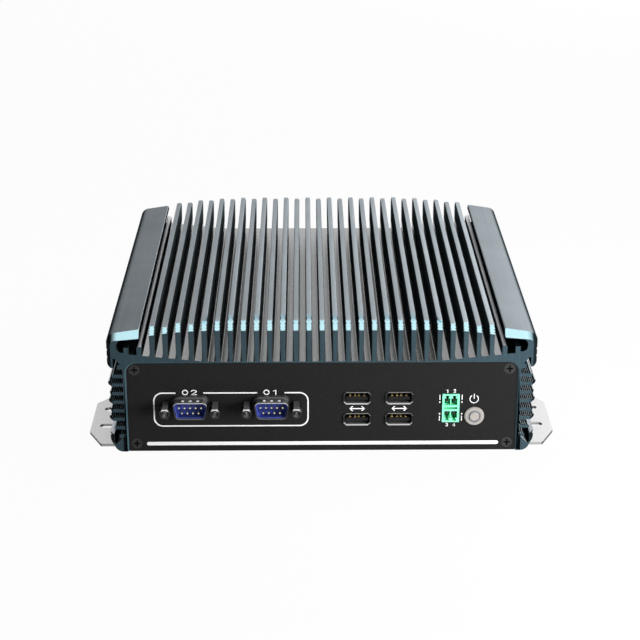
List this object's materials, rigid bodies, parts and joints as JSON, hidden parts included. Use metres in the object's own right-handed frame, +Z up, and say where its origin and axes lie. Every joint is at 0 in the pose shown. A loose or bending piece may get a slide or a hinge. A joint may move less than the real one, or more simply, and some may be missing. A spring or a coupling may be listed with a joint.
{
  "type": "industrial computer",
  "caption": "Fanless box computer: finned anodised extrusion with ribbed sides, black port panels, a sprung power button and four slotted mounting ears.",
  "frame": {"origin": "on the resting surface under the middle of the body", "axes": "+X to the right seen from the front panel, +Y from front to back, +Z up"},
  "size_m": [0.2422, 0.2296, 0.0719],
  "materials": {
    "anodised_body": "blue-grey anodised extrusion, satin",
    "panel_black": "fine black powder coat",
    "bottom_plate_metal": "satin",
    "ear_metal": "satin",
    "black_screw": "black oxide",
    "nickel_plate": "bright nickel",
    "blue_insert": "moulded",
    "gold_contact": "gold flash",
    "terminal_green": "moulded",
    "button_metal": "turned",
    "light_ring": "translucent ring, unlit",
    "spring_steel": "drawn wire",
    "black_plastic": "moulded",
    "board_green": "solder mask",
    "brass_standoff": "turned",
    "chip_metal": "plated lid",
    "spreader_aluminium": "milled",
    "thermal_pad_grey": "soft pad",
    "drive_case": "thin case full of electronics"
  },
  "bodies": {
    "computer": {"board_link_header": "black_plastic", "board_screws": "spring_steel", "board_standoffs": "brass_standoff", "body_extrusion": "anodised_body", "bottom_plate": "bottom_plate_metal", "bottom_plate_screws": "black_screw", "coin_cell": "chip_metal", "coin_cell_holder": "black_plastic", "drive_screws": "black_screw", "ear_screws": "black_screw", "front_jackscrews": "nickel_plate", "front_left_ear": "ear_metal", "front_panel": "panel_black", "front_panel_screws": "black_screw", "front_port_board": "board_green", "front_right_ear": "ear_metal", "heat_spreader_block": "spreader_aluminium", "host_port_1_shell": "nickel_plate", "host_port_1_tongue": "black_plastic", "host_port_2_shell": "nickel_plate", "host_port_2_tongue": "black_plastic", "host_port_3_shell": "nickel_plate", "host_port_3_tongue": "black_plastic", "host_port_4_shell": "nickel_plate", "host_port_4_tongue": "black_plastic", "host_port_contacts": "gold_contact", "main_board": "board_green", "memory_module": "board_green", "memory_socket": "black_plastic", "network_port_1_insert": "black_plastic", "network_port_1_shell": "nickel_plate", "network_port_2_insert": "black_plastic", "network_port_2_shell": "nickel_plate", "power_button_bezel": "button_metal", "power_button_housing": "black_plastic", "power_button_nut": "button_metal", "power_button_ring": "light_ring", "power_button_spring": "spring_steel", "power_inlet_body": "black_plastic", "power_inlet_pin": "gold_contact", "processor": "chip_metal", "rear_jackscrews": "nickel_plate", "rear_left_ear": "ear_metal", "rear_panel": "panel_black", "rear_panel_screws": "black_screw", "rear_right_ear": "ear_metal", "serial_port_1_insert": "blue_insert", "serial_port_1_pins": "gold_contact", "serial_port_1_shell": "nickel_plate", "serial_port_2_insert": "blue_insert", "serial_port_2_pins": "gold_contact", "serial_port_2_shell": "nickel_plate", "storage_drive": "drive_case", "terminal_block": "terminal_green", "terminal_pins": "gold_contact", "thermal_pad": "thermal_pad_grey", "video_port_insert": "blue_insert", "video_port_shell": "nickel_plate"},
    "power_button": {"power_button_cap": "button_metal"}
  },
  "joints": [
    {"name": "power_button_press", "type": "slide", "parent": "computer", "child": "power_button", "axis": [0, 1, 0], "range_m": [0, 0.0012], "stiffness_N_per_m": 1200, "deforming": ["power_button_spring"]}
  ]
}
